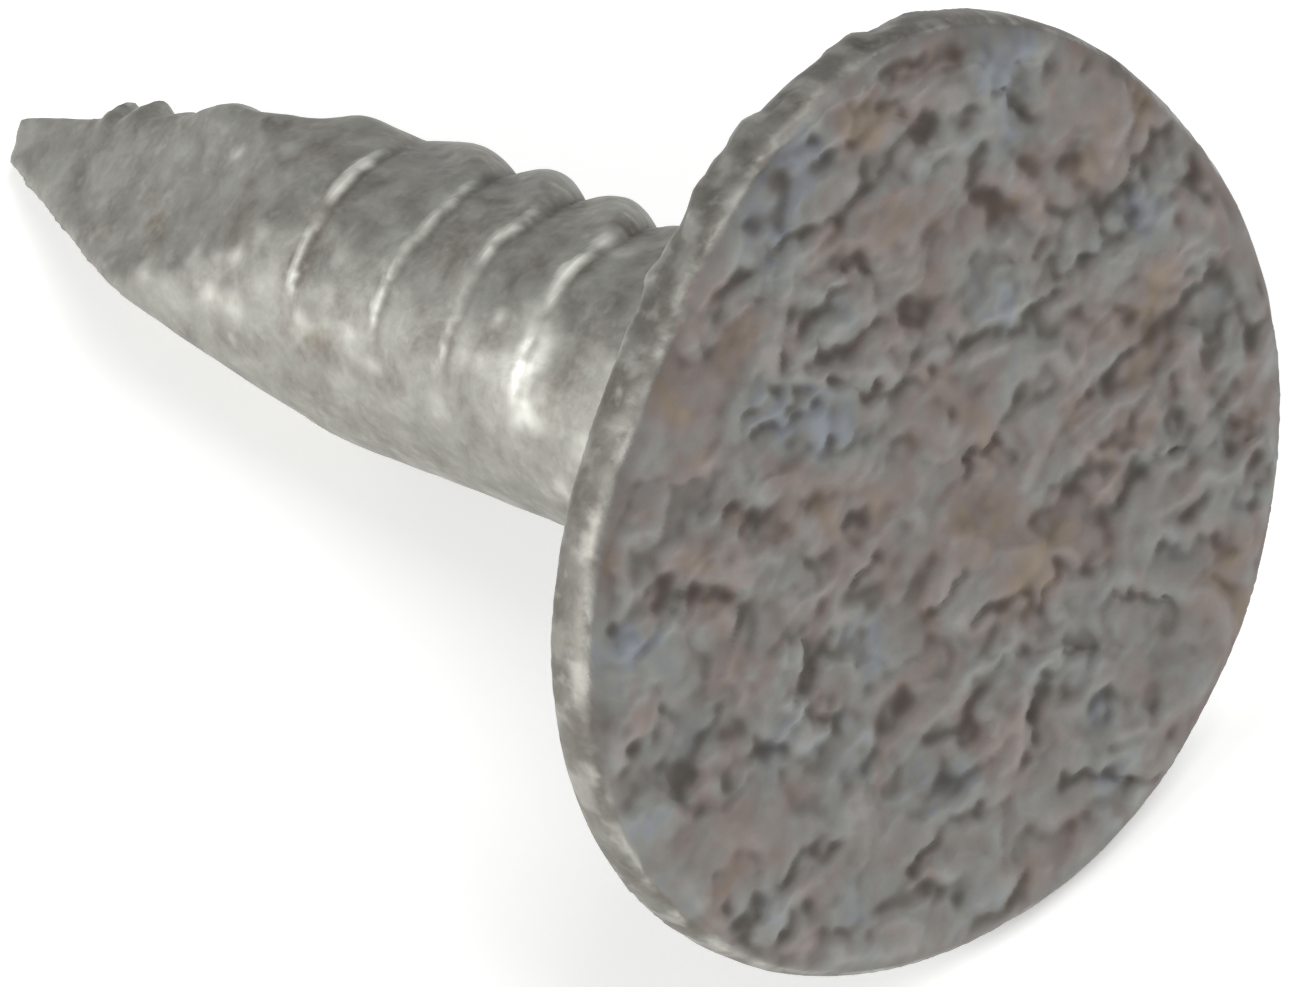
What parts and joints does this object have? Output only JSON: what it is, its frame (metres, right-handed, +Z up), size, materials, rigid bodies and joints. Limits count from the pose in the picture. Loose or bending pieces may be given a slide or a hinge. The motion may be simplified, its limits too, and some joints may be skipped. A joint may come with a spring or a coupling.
{
  "type": "galvanised clout nail",
  "caption": "Short roofing nail with an extra large flat round head, a thick shank barbed on one side and a blunt four-sided point, hot-dip galvanised.",
  "frame": {"origin": "middle of the nail's bounding box at floor level, with the nail lying on its tip and the rim of its head", "axes": "+Z up, +X from the point towards the head along the floor, +Y across; the shank leans up towards the head in the XZ plane"},
  "size_m": [0.0146, 0.0098, 0.0093],
  "materials": {
    "steel": "satin",
    "zinc": "matte"
  },
  "bodies": {
    "root": {"steel_nail": "steel", "zinc_coat": "zinc"}
  },
  "joints": []
}
